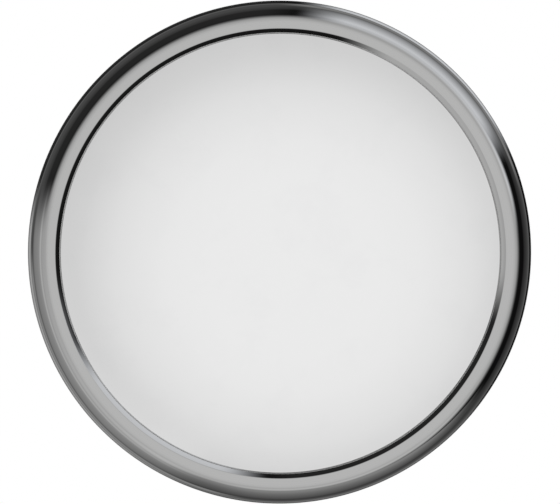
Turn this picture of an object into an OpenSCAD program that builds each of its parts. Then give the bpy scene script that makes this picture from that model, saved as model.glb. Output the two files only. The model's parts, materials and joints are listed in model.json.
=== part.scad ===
// Convex security mirror: a domed mirror in a rolled steel rim, on a two-way wall bracket.
// The wall is the plane y = 0, the mirror faces -Y and +Z is up. Sizes are in millimetres.

/* [Mirror] */
// Diameter of the head over its rolled edge
head_d = 450; // [375:5:600]
// Rise of the dome above its visible edge
dome_rise = 26; // [20:1:36]
// Thickness of the acrylic dome
dome_t = 3; // [2:0.5:4]
// Distance that the dome runs under the sight edge before its flange
dome_tuck = 6.5; // [6:0.1:8]
// Width of the dome's flat flange
flange_w = 6; // [5:0.1:7.5]
// Thickness of the gasket at the sight edge
gasket_t = 0.6; // [0.4:0.1:1.2]

/* [Rim] */
// Thickness of the stainless steel sheet
rim_t = 0.8; // [0.6:0.05:1]
// Distance that the rolled edge stands out from the skirt
roll_out = 3; // [2.4:0.1:4]
// Outside radius of the rolled edge
roll_r = 2.2; // [1.8:0.1:2.4]
// Turn of the rolled edge in degrees
roll_turn = 230; // [180:5:240]
// Backward lean of the rolled edge where it leaves the skirt, in degrees
roll_lean = 30; // [20:1:36]
// Radius of the fold between the rolled edge and the skirt
roll_fold_r = 0.6; // [0.4:0.1:0.8]
// Depth of the skirt from the middle of the rolled edge to the crown
skirt_h = 10; // [8:0.5:14]
// Distance from the outside of the head to the sight edge
sight_inset = 29.7; // [24:0.1:36]
// Width of the flat land between the crown and the bevel
land_w = 2.2; // [1.6:0.1:5]
// Inward fall of the land in degrees
land_fall = 6; // [2:1:9]
// Width of the bevel at the sight edge
bevel_w = 4; // [3.4:0.1:5]
// Slope of the bevel in degrees
bevel_angle = 32; // [26:1:40]
// Radius of the soft bend between the land and the bevel
bevel_bend = 4; // [2:0.5:5]
// Width of the foot folded under the bevel
foot_w = 6; // [5:0.1:7.2]
// Number of clips and screws that hold the pan
clip_n = 6; // [4:1:8]
// Thickness of a clip
clip_t = 1.5; // [1:0.1:2]
// Length of a clip round the rim
clip_len = 18; // [12:1:24]
// Diameter of a pan screw
rim_screw_d = 4; // [3:0.5:4]

/* [Back pan] */
// Thickness of the pan's steel
pan_t = 1; // [0.8:0.1:1.2]
// Depth of the centre pad behind the pan's flange
pan_depth = 27; // [22:1:34]
// Radius of the flat centre pad
pad_r = 62; // [52:1:74]
// Height of the step round the centre pad
pad_step = 5; // [4:0.5:6]
// Run of the step round the centre pad
pad_slope = 7; // [6:0.5:10]
// Rise of the floor from the centre pad to the wall
floor_rise = 4; // [2:0.5:6]
// Run of the pan's sloping wall
pan_wall_run = 14; // [10:1:18]
// Height of the two pressed stiffening rings
ring_h = 3; // [2:0.5:4]
// Width of a stiffening ring
ring_w = 16; // [14:1:20]
// Radius of the spreader plate inside the pan
spreader_r = 45; // [40:1:50]
// Thickness of the spreader plate
spreader_t = 3; // [2:0.5:4]

/* [Bracket] */
// Thickness of a yoke's steel
yoke_t = 4; // [3:0.1:5]
// Clear width between a yoke's ears
yoke_gap = 44; // [40:0.5:53]
// Length of a yoke's base
yoke_base = 60; // [56:1:72]
// Distance from a yoke's base to its pivot
pivot_rise = 26; // [24:0.5:32]
// Radius of the end of an ear
ear_r = 15; // [13:0.5:18]
// Inside radius of a yoke's bends
fold_r = 3; // [2:0.5:4]
// Spacing of the yoke bolts between the ears
yoke_bolt_x = 24; // [22:1:26]
// Spacing of the yoke bolts along the base
yoke_bolt_z = 40; // [36:1:46]
// Distance between the two pivots
arm_len = 100; // [83:1:140]
// Outside diameter of the arm's tube
arm_d = 22; // [19:0.5:25]
// Wall thickness of the arm's tube
arm_wall = 3.2; // [2:0.1:4]
// Outside diameter of a barrel
barrel_d = 26; // [23:0.5:31]
// Outside diameter of a bush
bush_d = 14; // [13:0.5:16]
// Length of a bush inside its barrel
bush_len = 12; // [10:0.5:12]
// Thickness of a bush's flange
bush_flange_t = 1.5; // [1:0.1:2]
// Diameter of the two pivot bolts
pivot_d = 8; // [7:0.5:9]
// Diameter of the yoke bolts and plate screws
yoke_bolt_d = 6; // [5:0.5:6]
// Span of a wing nut
wing_span = 40; // [34:1:46]

/* [Wall plate] */
// Width of the wall plate
plate_w = 80; // [72:1:100]
// Height of the wall plate
plate_h = 110; // [104:1:140]
// Thickness of the wall plate
plate_t = 5; // [5:0.5:6]
// Radius of the wall plate's corners
plate_corner_r = 10; // [6:1:14]
// Spacing of the wall screw holes across the plate
wall_hole_x = 56; // [48:1:56]
// Spacing of the wall screw holes up the plate
wall_hole_z = 84; // [82:1:92]
// Diameter of the wall screw holes
wall_hole_d = 6.5; // [5:0.5:8]

/* [Clearances] */
// Radial clearance of a part that turns on a pivot bolt
running_gap = 0.08; // [0.05:0.01:0.1]
// Radial clearance of a bolt in a plain hole
bolt_gap = 0.2; // [0.1:0.05:0.3]
// End play of the arm and of the wing nuts
end_play = 0.15; // [0.1:0.05:0.3]
// Fitting gap between pieces of the head
fit_gap = 0.05; // [0.03:0.01:0.1]
// Gap round the edges of loose pieces in the head
edge_gap = 0.5; // [0.3:0.1:0.8]

/* [Hidden] */
$fa = 4;
$fs = 0.4;
// A tangent line is drawn this much inside its circle, so that the two cross cleanly
tangent_ease = 0.02;
// Largest turn of one step along a bend, in degrees
bend_step = 5;
// Steps round the dome's large circle
dome_steps = 720;
// Overrun of a cutting tool
over = 1;
// Turn of each wing nut at rest, in degrees
tilt_nut_turn = 35;
pan_nut_turn = 20;

// Rim section: radius r from the head's axis and height h forward of the rolled edge's middle
roll_centre = [head_d / 2 - roll_r, 0];
roll_top = roll_centre + roll_r * [sin(roll_lean), cos(roll_lean)];
skirt_r = head_d / 2 - roll_out;
skirt_in = skirt_r - rim_t;
skirt_low_h = roll_top[1] + (roll_top[0] - skirt_r) * tan(roll_lean);
sight_r = head_d / 2 - sight_inset;
bevel_top_r = sight_r + bevel_w;
land_run = (skirt_r - bevel_top_r) / cos(land_fall);
crown_turn = 90 + land_fall;
crown_r = (land_run - land_w) / tan(crown_turn / 2);
crown_h = skirt_h + crown_r * tan(crown_turn / 2);
bevel_top_h = crown_h - land_run * sin(land_fall);
hem_r = rim_t + fit_gap;
hem_centre_r = sight_r + hem_r;
hem_top_r = hem_centre_r - hem_r * sin(bevel_angle);
hem_top_h = bevel_top_h - (bevel_top_r - hem_top_r) * tan(bevel_angle);
foot_h = hem_top_h - hem_r * (1 + cos(bevel_angle));
foot_corner_r = hem_top_r - (hem_top_h - foot_h) / tan(bevel_angle);

// Dome: a spherical cap that meets the gasket under the sight edge
dome_edge_h = foot_h - gasket_t;
dome_r = (sight_r * sight_r + dome_rise * dome_rise) / (2 * dome_rise);
dome_centre_h = dome_edge_h + dome_rise - dome_r;
flange_in = sight_r + dome_tuck;
flange_out = flange_in + flange_w;
function dome_at(r) = dome_centre_h + sqrt(dome_r * dome_r - r * r);
flange_h = dome_at(flange_in);

// Pan: its flange meets the clips at the end of the straight skirt
seat_h = skirt_h - clip_t;
pan_h = seat_h - pan_t;
pad_h = pan_h - pan_depth;
clip_out = skirt_in - 2 * fit_gap;
clip_in = flange_out + 2 * edge_gap;
pan_out = clip_out - clip_t - edge_gap;
rim_screw_r = (clip_in + pan_out) / 2;
clip_low_h = skirt_low_h + roll_fold_r;
pan_wall_top = flange_in - 2 * pan_t;
pan_wall_low = pan_wall_top - pan_wall_run;
floor_in = [pad_r + pad_slope, pad_h + pad_step];
floor_out = [pan_wall_low, pad_h + pad_step + floor_rise];
ring_shares = [0.3, 0.7];
ring_places = [for (share = ring_shares) floor_in[0] + (floor_out[0] - floor_in[0]) * share];
pan_bend = 4;
ring_bend = 2.5;

// Fasteners
hex_ratio = 1 / cos(30);
bolt_hole_d = yoke_bolt_d + 2 * bolt_gap;
turning_hole_d = pivot_d + 2 * running_gap;
head_af = yoke_bolt_d * 10 / 6;
head_h = yoke_bolt_d * 4 / 6;
nut_h = yoke_bolt_d * 5 / 6;
washer_t = yoke_bolt_d * 0.2;
thread_out = yoke_bolt_d * 0.3;
neck_h = yoke_t - 2 * bolt_gap;
pivot_washer_t = pivot_d * 0.2;
nut_hub_h = pivot_d * 9 / 8;
bolt_end = 4;

// Bracket: distances from the wall
ear_x = yoke_gap / 2 + yoke_t;
bush_flange_d = 1.4 * bush_d;
barrel_len = yoke_gap - 2 * (bush_flange_t + end_play);
yoke_h = yoke_t + pivot_rise;
pan_y = plate_t + yoke_h;
tilt_y = pan_y + arm_len;
pad_y = tilt_y + yoke_h;
rim_y = pad_y - pad_h;
arm_bore = arm_d - 2 * arm_wall;

function unit(v) = v / norm(v);
function left(v) = [-v[1], v[0]];
function heading(v) = atan2(v[1], v[0]);
function turn_of(a, b) = atan2(a[0] * b[1] - a[1] * b[0], a * b);
function polar(r, angle) = r * [cos(angle), sin(angle)];

// Where the line from point p touches the circle round c, on the side given by sign
function touch(p, c, r, sign) = c + polar(r, heading(p - c) + sign * acos(r / norm(c - p)));

// Places round the head's axis
module round_head(n, r, start = 0) {
  for (i = [0 : n - 1]) rotate(start + i * 360 / n) translate([r, 0, 0]) children();
}

// The four corners of a rectangle
module corners(x, y) {
  for (sx = [-1, 1], sy = [-1, 1]) translate([sx * x / 2, sy * y / 2, 0]) children();
}

// A path of straight runs and round bends, as pairs of a point and the path's left-hand normal.
// bends[i] is the radius at point i + 1.
function bend_at(a, b, c, r) =
  let (
    way = unit(b - a),
    turn = turn_of(way, unit(c - b)),
    hand = turn > 0 ? 1 : -1,
    centre = b - way * r * tan(abs(turn) / 2) + left(way) * r * hand
  )
  arc_of(centre, -r * hand, heading(left(way)), turn);
function arc_of(centre, r, start, turn) =
  let (steps = ceil(abs(turn) / bend_step))
  [for (i = [0 : steps]) let (out = polar(1, start + turn * i / steps)) [centre + r * out, out]];
function end_at(a, b, point) = [[point, left(unit(b - a))]];
function folded(path, bends) =
  let (last = len(path) - 1)
  concat(
    end_at(path[0], path[1], path[0]),
    [for (i = [1 : last - 1]) each bend_at(path[i - 1], path[i], path[i + 1], bends[i - 1])],
    end_at(path[last - 1], path[last], path[last])
  );

// Section of a sheet that lies to the left of such a path
module sheet_section(line, t) {
  back = [for (i = [len(line) - 1 : -1 : 0]) line[i][0] + t * line[i][1]];
  polygon(concat([for (pair = line) pair[0]], back));
}

// The head's own frame: its axis is +Z with the rolled edge's middle at z = 0
module on_head() {
  translate([0, -rim_y, 0]) rotate([90, 0, 0]) children();
}

// A pivot's own frame: the bolt lies along +Z with the yoke's middle at z = 0
module on_tilt_pivot() {
  translate([0, -tilt_y, 0]) rotate([0, 90, 0]) children();
}

module on_pan_pivot() {
  translate([0, -pan_y, 0]) children();
}

// A yoke's own frame: its base stands on z = 0 and its pivot lies along X
module on_head_yoke() {
  translate([0, -pad_y, 0]) rotate([-90, 0, 0]) children();
}

module on_wall_yoke() {
  translate([0, -plate_t, 0]) rotate([0, -90, 0]) rotate([90, 0, 0]) children();
}

// The wall plate's own frame: it stands on the wall at z = 0 with +Z into the room
module on_wall() {
  rotate([90, 0, 0]) children();
}

// Section of the dome: a circular shell and its flange
module dome_section() {
  intersection() {
    translate([0, dome_centre_h]) difference() {
      circle(dome_r, $fn = dome_steps);
      circle(dome_r - dome_t, $fn = dome_steps);
    }
    translate([0, flange_h - 2 * dome_t]) square([flange_in, dome_rise + 4 * dome_t + dome_tuck]);
  }
  translate([flange_in - 1, flange_h - dome_t]) square([flange_w + 1, dome_t]);
}

module mirror_dome() {
  color("gainsboro") on_head() rotate_extrude() dome_section();
}

// Section of the rim: rolled edge, skirt, crown, land, bevel, hem and foot in one sheet
module rim_section() {
  roll_end = 270 - roll_lean;
  rolled_edge = arc_of(roll_centre, -roll_r, roll_end - roll_turn, roll_turn - bend_step);
  face = folded(
    [
      roll_top,
      [skirt_r, skirt_low_h],
      [skirt_r, crown_h],
      [bevel_top_r, bevel_top_h],
      [foot_corner_r, foot_h],
      [sight_r + foot_w, foot_h]
    ],
    [roll_fold_r, crown_r, bevel_bend, hem_r]
  );
  sheet_section(concat(rolled_edge, face), rim_t);
}

module rim_ring() {
  color("silver") on_head() rotate_extrude() rim_section();
}

// A rubber wedge that fills the gap between the foot and the sloping dome
module sight_edge_gasket() {
  gasket_in = sight_r + hem_r;
  gasket_out = sight_r + foot_w;
  color("black") on_head() rotate_extrude() polygon([
    [gasket_in, dome_at(gasket_in) + fit_gap],
    [gasket_out, dome_at(gasket_out) + fit_gap],
    [gasket_out, foot_h - fit_gap],
    [gasket_in, foot_h - fit_gap]
  ]);
}

module foam_seat() {
  foam_t = flange_h - dome_t - seat_h;
  color("dimgray") on_head() translate([0, 0, seat_h]) difference() {
    cylinder(r = flange_out - edge_gap, h = foam_t);
    translate([0, 0, -over]) cylinder(r = flange_in + edge_gap, h = foam_t + 2 * over);
  }
}

// Path of the pan's rear face from its centre to the edge of its flange
function floor_at(r) =
  [r, floor_in[1] + (floor_out[1] - floor_in[1]) * (r - floor_in[0]) / (floor_out[0] - floor_in[0])];
function pressed_ring(r) = [
  floor_at(r - ring_w / 2),
  floor_at(r - ring_w / 4) - [0, ring_h],
  floor_at(r + ring_w / 4) - [0, ring_h],
  floor_at(r + ring_w / 2)
];

module pan_section() {
  path = concat(
    [[0, pad_h], [pad_r, pad_h], floor_in],
    [for (place = ring_places) each pressed_ring(place)],
    [floor_out, [pan_wall_top, pan_h], [pan_out, pan_h]]
  );
  ring_bends = [for (place = ring_places, corner = [1 : 4]) ring_bend];
  sheet_section(folded(path, concat([pan_bend, pan_bend], ring_bends, [pan_bend, pan_bend])), pan_t);
}

module back_pan() {
  color("dimgray") on_head() difference() {
    rotate_extrude() pan_section();
    round_head(clip_n, rim_screw_r, 90)
      translate([0, 0, pan_h - over]) cylinder(d = rim_screw_d + 2 * bolt_gap, h = pan_t + 2 * over);
    corners(yoke_bolt_x, yoke_bolt_z)
      translate([0, 0, pad_h - over]) cylinder(d = bolt_hole_d, h = pan_t + 2 * over);
  }
}

module rim_clips() {
  clip_turn = clip_len / clip_out * 180 / PI;
  color("lightgray") on_head() difference() {
    round_head(clip_n, 0, 90) rotate(-clip_turn / 2) rotate_extrude(angle = clip_turn) polygon([
      [clip_in, seat_h],
      [clip_out - clip_t, seat_h],
      [clip_out - clip_t, clip_low_h],
      [clip_out, clip_low_h],
      [clip_out, skirt_h],
      [clip_in, skirt_h]
    ]);
    round_head(clip_n, rim_screw_r, 90)
      translate([0, 0, seat_h - over]) cylinder(d = rim_screw_d + 2 * fit_gap, h = clip_t + 2 * over);
  }
}

module rim_screws() {
  low_h = rim_screw_d * 0.6;
  color("gray") on_head() round_head(clip_n, rim_screw_r, 90) translate([0, 0, pan_h]) {
    cylinder(d = rim_screw_d, h = pan_t + clip_t + thread_out);
    translate([0, 0, -low_h]) cylinder(d1 = 1.6 * rim_screw_d, d2 = 2 * rim_screw_d, h = low_h);
  }
}

module spreader_plate() {
  color("lightgray") on_head() translate([0, 0, pad_h + pan_t]) difference() {
    cylinder(r = spreader_r, h = spreader_t);
    corners(yoke_bolt_x, yoke_bolt_z)
      translate([0, 0, -over]) cylinder(d = bolt_hole_d, h = spreader_t + 2 * over);
  }
}

// Outline of an ear seen along the pivot: a tapered cheek with a round end
module ear_outline() {
  half = yoke_base / 2;
  pivot = [0, yoke_h];
  cheek_r = ear_r - tangent_ease;
  right = touch([half, yoke_t], pivot, cheek_r, 1);
  polygon([[-half, 0], [half, 0], [half, yoke_t], right, [-right[0], right[1]], [-half, yoke_t]]);
  translate(pivot) circle(ear_r);
}

// A yoke: a strip bent into a U, with a square hole for the bolt's neck in its first ear
module yoke() {
  ear_top = yoke_h + ear_r + over;
  fold = yoke_t + fold_r;
  neck = pivot_d + 2 * bolt_gap;
  difference() {
    intersection() {
      rotate([90, 0, 0]) linear_extrude(yoke_base, center = true) sheet_section(
        folded([[-ear_x, ear_top], [-ear_x, 0], [ear_x, 0], [ear_x, ear_top]], [fold, fold]),
        yoke_t
      );
      rotate([90, 0, 90]) linear_extrude(2 * (ear_x + over), center = true) ear_outline();
    }
    translate([0, 0, yoke_h]) rotate([0, 90, 0]) cylinder(d = neck, h = ear_x + over);
    translate([-ear_x - over, -neck / 2, yoke_h - neck / 2]) cube([yoke_t + 2 * over, neck, neck]);
    corners(yoke_bolt_x, yoke_bolt_z)
      translate([0, 0, -over]) cylinder(d = bolt_hole_d, h = yoke_t + 2 * over);
  }
}

module head_yoke() {
  color("dimgray") on_head_yoke() yoke();
}

module wall_yoke() {
  color("dimgray") on_wall_yoke() yoke();
}

module hex_nut() {
  difference() {
    cylinder(d = head_af * hex_ratio, h = nut_h, $fn = 6);
    translate([0, 0, -over]) cylinder(d = yoke_bolt_d + 2 * fit_gap, h = nut_h + 2 * over);
  }
}

module yoke_bolts() {
  stack = washer_t + yoke_t + pan_t + spreader_t + nut_h + thread_out;
  color("silver") on_head_yoke() corners(yoke_bolt_x, yoke_bolt_z) translate([0, 0, yoke_t + washer_t]) {
    cylinder(d = head_af * hex_ratio, h = head_h, $fn = 6);
    translate([0, 0, -stack]) cylinder(d = yoke_bolt_d, h = stack);
  }
}

module yoke_washers() {
  color("silver") on_head_yoke() corners(yoke_bolt_x, yoke_bolt_z) translate([0, 0, yoke_t]) difference() {
    cylinder(d = 2 * yoke_bolt_d, h = washer_t);
    translate([0, 0, -over]) cylinder(d = bolt_hole_d, h = washer_t + 2 * over);
  }
}

module yoke_nuts() {
  color("silver") on_head_yoke() corners(yoke_bolt_x, yoke_bolt_z)
    translate([0, 0, -pan_t - spreader_t - nut_h]) hex_nut();
}

// A carriage bolt: low domed head, square neck and round shank
module pivot_bolt() {
  cap_r = 1.1 * pivot_d;
  cap_h = 0.5 * pivot_d;
  cap_ball = (cap_r * cap_r + cap_h * cap_h) / (2 * cap_h);
  reach = ear_x + pivot_washer_t + end_play + nut_hub_h + bolt_end;
  translate([0, 0, -ear_x]) {
    rotate_extrude() intersection() {
      translate([0, cap_ball - cap_h]) circle(cap_ball);
      translate([0, -cap_h]) square([cap_r, cap_h]);
    }
    translate([-pivot_d / 2, -pivot_d / 2, 0]) cube([pivot_d, pivot_d, neck_h]);
    cylinder(d = pivot_d, h = ear_x + reach - 1);
    translate([0, 0, ear_x + reach - 1]) cylinder(d1 = pivot_d, d2 = pivot_d - 2, h = 1);
  }
}

module pivot_washer() {
  translate([0, 0, ear_x]) difference() {
    cylinder(d = 2 * pivot_d, h = pivot_washer_t);
    translate([0, 0, -over]) cylinder(d = pivot_d + 2 * bolt_gap, h = pivot_washer_t + 2 * over);
  }
}

// A wing nut: a tapered hub with two rounded wings that lean outward
module wing_nut() {
  wing_t = 0.45 * pivot_d;
  tip_r = 0.6 * pivot_d;
  tip = [wing_span / 2 - tip_r, nut_hub_h + 0.45 * pivot_d];
  root = 0.7 * pivot_d;
  foot = [root, 0.12 * pivot_d];
  crest = [root, 0.9 * nut_hub_h];
  touch_r = tip_r - tangent_ease;
  translate([0, 0, ear_x + pivot_washer_t + end_play]) difference() {
    union() {
      cylinder(d1 = 2.1 * pivot_d, d2 = 1.75 * pivot_d, h = nut_hub_h);
      for (side = [0, 180]) rotate([90, 0, side]) linear_extrude(wing_t, center = true) {
        polygon([foot, touch(foot, tip, touch_r, 1), touch(crest, tip, touch_r, -1), crest]);
        translate(tip) circle(tip_r);
      }
    }
    translate([0, 0, -over]) cylinder(d = turning_hole_d, h = nut_hub_h + 2 * over);
  }
}

module tilt_bolt() {
  color("silver") on_tilt_pivot() pivot_bolt();
}

module tilt_washer() {
  color("silver") on_tilt_pivot() pivot_washer();
}

module tilt_wing_nut() {
  color("darkgray") on_tilt_pivot() rotate(tilt_nut_turn) wing_nut();
}

module pan_bolt() {
  color("silver") on_pan_pivot() pivot_bolt();
}

module pan_washer() {
  color("silver") on_pan_pivot() pivot_washer();
}

module pan_wing_nut() {
  color("darkgray") on_pan_pivot() rotate(pan_nut_turn) wing_nut();
}

// The arm: a tube between two crossed barrels, hollow right through to their bores
module swing_arm() {
  bore_d = bush_d + 2 * fit_gap;
  color("dimgray") difference() {
    union() {
      on_pan_pivot() cylinder(d = barrel_d, h = barrel_len, center = true);
      on_tilt_pivot() cylinder(d = barrel_d, h = barrel_len, center = true);
      on_pan_pivot() rotate([90, 0, 0]) cylinder(d = arm_d, h = arm_len);
    }
    on_pan_pivot() cylinder(d = bore_d, h = barrel_len + 2 * over, center = true);
    on_tilt_pivot() cylinder(d = bore_d, h = barrel_len + 2 * over, center = true);
    on_pan_pivot() rotate([90, 0, 0]) cylinder(d = arm_bore, h = arm_len);
  }
}

// Two flanged bushes, one in each end of a barrel
module bushes() {
  for (end = [0, 180]) rotate([end, 0, 0]) translate([0, 0, barrel_len / 2]) difference() {
    union() {
      cylinder(d = bush_flange_d, h = bush_flange_t);
      translate([0, 0, -bush_len]) cylinder(d = bush_d, h = bush_len);
    }
    translate([0, 0, -bush_len - over])
      cylinder(d = turning_hole_d, h = bush_len + bush_flange_t + 2 * over);
  }
}

module tilt_bushes() {
  color("white") on_tilt_pivot() bushes();
}

module pan_bushes() {
  color("white") on_pan_pivot() bushes();
}

// A countersunk hole or head, wide end at z = 0
module countersink(d) {
  cylinder(d1 = 2 * d, d2 = d, h = d / 2);
}

module plate_outline() {
  flat_w = plate_w - 2 * plate_corner_r;
  flat_h = plate_h - 2 * plate_corner_r;
  square([flat_w, plate_h], center = true);
  square([plate_w, flat_h], center = true);
  corners(flat_w, flat_h) circle(plate_corner_r);
}

module wall_plate() {
  color("dimgray") on_wall() difference() {
    linear_extrude(plate_t) plate_outline();
    corners(wall_hole_x, wall_hole_z)
      translate([0, 0, -over]) cylinder(d = wall_hole_d, h = plate_t + 2 * over);
    rotate(90) corners(yoke_bolt_x, yoke_bolt_z) {
      translate([0, 0, -over]) cylinder(d = bolt_hole_d, h = plate_t + 2 * over);
      countersink(bolt_hole_d);
    }
  }
}

module plate_screws() {
  stack = plate_t + yoke_t + nut_h + thread_out;
  sunk = bolt_gap;
  color("silver") on_wall() rotate(90) corners(yoke_bolt_x, yoke_bolt_z) translate([0, 0, sunk]) {
    cylinder(d = yoke_bolt_d, h = stack - sunk);
    countersink(yoke_bolt_d);
  }
}

module plate_nuts() {
  color("silver") on_wall_yoke() corners(yoke_bolt_x, yoke_bolt_z) translate([0, 0, yoke_t]) hex_nut();
}

mirror_dome();
rim_ring();
sight_edge_gasket();
foam_seat();
back_pan();
rim_clips();
rim_screws();
spreader_plate();
head_yoke();
yoke_bolts();
yoke_washers();
yoke_nuts();
tilt_bolt();
tilt_washer();
tilt_wing_nut();
swing_arm();
tilt_bushes();
pan_bushes();
wall_yoke();
wall_plate();
plate_screws();
plate_nuts();
pan_bolt();
pan_washer();
pan_wing_nut();
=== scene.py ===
# %% [markdown]
# # A convex security mirror for a shop wall
# A domed mirror sits in a polished steel rim, and a two-way bracket behind it lets a shopkeeper
# swing and tilt it. The CAD model already has every piece in its place, in metres: the wall is the
# plane y = 0, the mirror looks along -Y and +Z is up. This lesson keeps those places and makes the
# surfaces: smooth turned sheet, threads, cast wing nuts, weld beads, and a finish for each
# material.

# %% Load the frame
import bmesh
import bpy
import json
import math
from mathutils import Matrix, Vector

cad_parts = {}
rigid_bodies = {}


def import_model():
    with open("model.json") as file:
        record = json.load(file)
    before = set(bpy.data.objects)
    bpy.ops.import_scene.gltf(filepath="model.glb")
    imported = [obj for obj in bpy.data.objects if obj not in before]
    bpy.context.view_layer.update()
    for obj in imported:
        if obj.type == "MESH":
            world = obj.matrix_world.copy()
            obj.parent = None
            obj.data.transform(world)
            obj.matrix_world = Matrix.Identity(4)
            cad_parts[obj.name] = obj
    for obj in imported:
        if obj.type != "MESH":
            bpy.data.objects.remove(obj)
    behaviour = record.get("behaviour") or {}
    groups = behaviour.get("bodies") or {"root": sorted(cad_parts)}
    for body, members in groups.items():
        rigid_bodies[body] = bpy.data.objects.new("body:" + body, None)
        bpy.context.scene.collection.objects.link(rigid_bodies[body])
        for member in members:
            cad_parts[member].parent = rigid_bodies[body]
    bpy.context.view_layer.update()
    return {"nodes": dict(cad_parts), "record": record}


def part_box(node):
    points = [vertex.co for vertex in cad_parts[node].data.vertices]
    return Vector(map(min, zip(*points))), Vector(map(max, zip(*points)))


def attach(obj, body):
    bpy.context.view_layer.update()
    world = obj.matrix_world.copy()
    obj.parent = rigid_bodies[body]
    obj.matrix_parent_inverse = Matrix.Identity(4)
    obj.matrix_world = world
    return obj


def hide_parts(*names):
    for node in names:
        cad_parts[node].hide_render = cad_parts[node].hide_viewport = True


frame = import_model()
nodes = frame["nodes"]
bodies = frame["record"]["behaviour"]["bodies"]
body_of_node = {node: body for body, members in bodies.items() for node in members}

# %% [markdown]
# ## The camera
# The photograph looks nearly straight at the mirror from a few metres away: the outline is a true
# circle, and the front of the rim sits only a little towards the lower right of its back edge. So
# the camera stands slightly up and to the left with a long lens. The lens follows from one measured
# fact, the width of the picture at the plane of the rolled edge.

# %% Place the camera
MM = 0.001
roll_r = 2.2
rim_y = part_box("rim_ring")[1].y - roll_r * MM
head_middle = Vector((0, rim_y, 0))
camera_distance = 2.5
camera_left = 1.5
camera_up = 2.05
picture_width = 0.5006
aim_right, aim_up = -0.0001, 0.0008
aim = head_middle + Vector((aim_right, 0, aim_up))

turn_left, turn_up = math.radians(camera_left), math.radians(camera_up)
towards_camera = Vector((
    -math.sin(turn_left), -math.cos(turn_left) * math.cos(turn_up), math.sin(turn_up)))
camera_data = bpy.data.cameras.new("camera")
camera_data.sensor_width = 36
camera_data.lens = camera_data.sensor_width * camera_distance / picture_width
camera = bpy.data.objects.new("camera", camera_data)
camera.location = aim + towards_camera.normalized() * camera_distance
camera.rotation_mode = "QUATERNION"
camera.rotation_quaternion = (-towards_camera).to_track_quat("-Z", "Y")
bpy.context.scene.collection.objects.link(camera)
bpy.context.scene.camera = camera
print("lens", round(camera_data.lens, 1), "mm at", camera_distance, "m")

# %% [markdown]
# ## Node helpers
# Materials and the world are graphs of nodes. A few small helpers keep the graphs readable. They
# add a node and fill its sockets by name, do arithmetic, and make a soft step or a band with two
# soft sides.

# %% Add nodes, numbers, soft steps and bands
def add_node(tree, kind, settings=None, **sockets):
    node = tree.nodes.new("ShaderNode" + kind)
    for key, value in (settings or {}).items():
        setattr(node, key, value)
    for key, value in sockets.items():
        fill(tree, node.inputs[key.replace("_", " ")], value)
    return node


def fill(tree, socket, value):
    if isinstance(value, bpy.types.NodeSocket):
        tree.links.new(value, socket)
    else:
        socket.default_value = value


def calc(tree, operation, *values):
    node = add_node(tree, "Math", {"operation": operation})
    for socket, value in zip(node.inputs, values):
        fill(tree, socket, value)
    return node.outputs[0]


def soft_step(tree, value, start, end):
    step = add_node(tree, "MapRange", {"interpolation_type": "SMOOTHSTEP"}, Value=value)
    step.inputs["From Min"].default_value = start
    step.inputs["From Max"].default_value = end
    return step.outputs["Result"]


def between(tree, value, limits, soft):
    rise = soft_step(tree, value, limits[0] - soft, limits[0] + soft)
    fall = soft_step(tree, value, limits[1] - soft, limits[1] + soft)
    return calc(tree, "MULTIPLY", rise, calc(tree, "SUBTRACT", 1.0, fall))


print("node helpers ready")

# %% [markdown]
# ## The studio
# A mirror has no look of its own, only what it reflects, so the light is the main part of this
# picture. A ring of cards could make that light, but cards would stand in the way of the other
# views. So most of it is painted on the world by direction: a large pale scrim in front, and soft
# panels beside, below and behind the object. One near card and four lamps, which come later, do
# what the world can't. Each panel is given by its turn (degrees anticlockwise from the right, seen
# from in front) and its tilt (degrees away from the mirror's axis). The camera itself sees plain
# white.

# %% Say where the light is
scrim_turn, scrim_tilt = math.radians(310), math.radians(5.5)
scrim_stops = {
    0: 0.91, 14: 0.905, 20: 0.885, 25: 0.84, 28: 0.805, 31: 0.75, 34: 0.695, 37: 0.66, 40: 0.58,
    44: 0.39, 49: 0.19, 53: 0.06, 56: 0.01, 60: 0.0,
}
cool, plain = (0.97, 0.99, 1.03), (1.0, 1.0, 1.0)
panels = {
    # name: (turn, softness of its sides), (tilt, softness of its ends), light at both ends, tint
    "right_near": (((8, 78), 7), ((43, 55), 9), (0.90, 0.90), cool),
    "right_key": (((26, 78), 7), ((56, 122), 9), (1.24, 0.16), cool),
    "left_fill": (((171, 250), 8), ((42, 118), 11), (0.64, 0.25), plain),
    "left_strip": (((171, 250), 8), ((57, 67), 2), (0.20, 0.20), plain),
    "low_near": (((255, 322), 12), ((41, 53), 5), (0.28, 0.28), plain),
    "upper_glow": (((88, 167), 6), ((52, 125), 8), (0.026, 0.030), plain),
    "right_rear": (((15, 84), 5), ((124, 152), 4), (0.20, 0.20), plain),
    "left_rear": (((185, 260), 5), ((124, 152), 4), (0.25, 0.25), plain),
    "backdrop": (((-20, 380), 5), ((88, 190), 5), (0.025, 0.20), plain),
}
dark_room = 0.008
print("a scrim and", len(panels), "panels")

# %% Paint the studio into the world
world = bpy.data.worlds.new("studio")
bpy.context.scene.world = world
world.use_nodes = True
studio = world.node_tree
studio.nodes.clear()
look = add_node(studio, "TexCoord").outputs["Generated"]
direction = add_node(studio, "SeparateXYZ", Vector=look)
across, ahead, up = (direction.outputs[axis] for axis in "XYZ")
tilt = calc(studio, "DEGREES", calc(studio, "ARCCOSINE", calc(studio, "MULTIPLY", ahead, -1.0)))
turn = calc(studio, "WRAP", calc(studio, "DEGREES", calc(studio, "ARCTAN2", up, across)), 360.0, 0.0)

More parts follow.
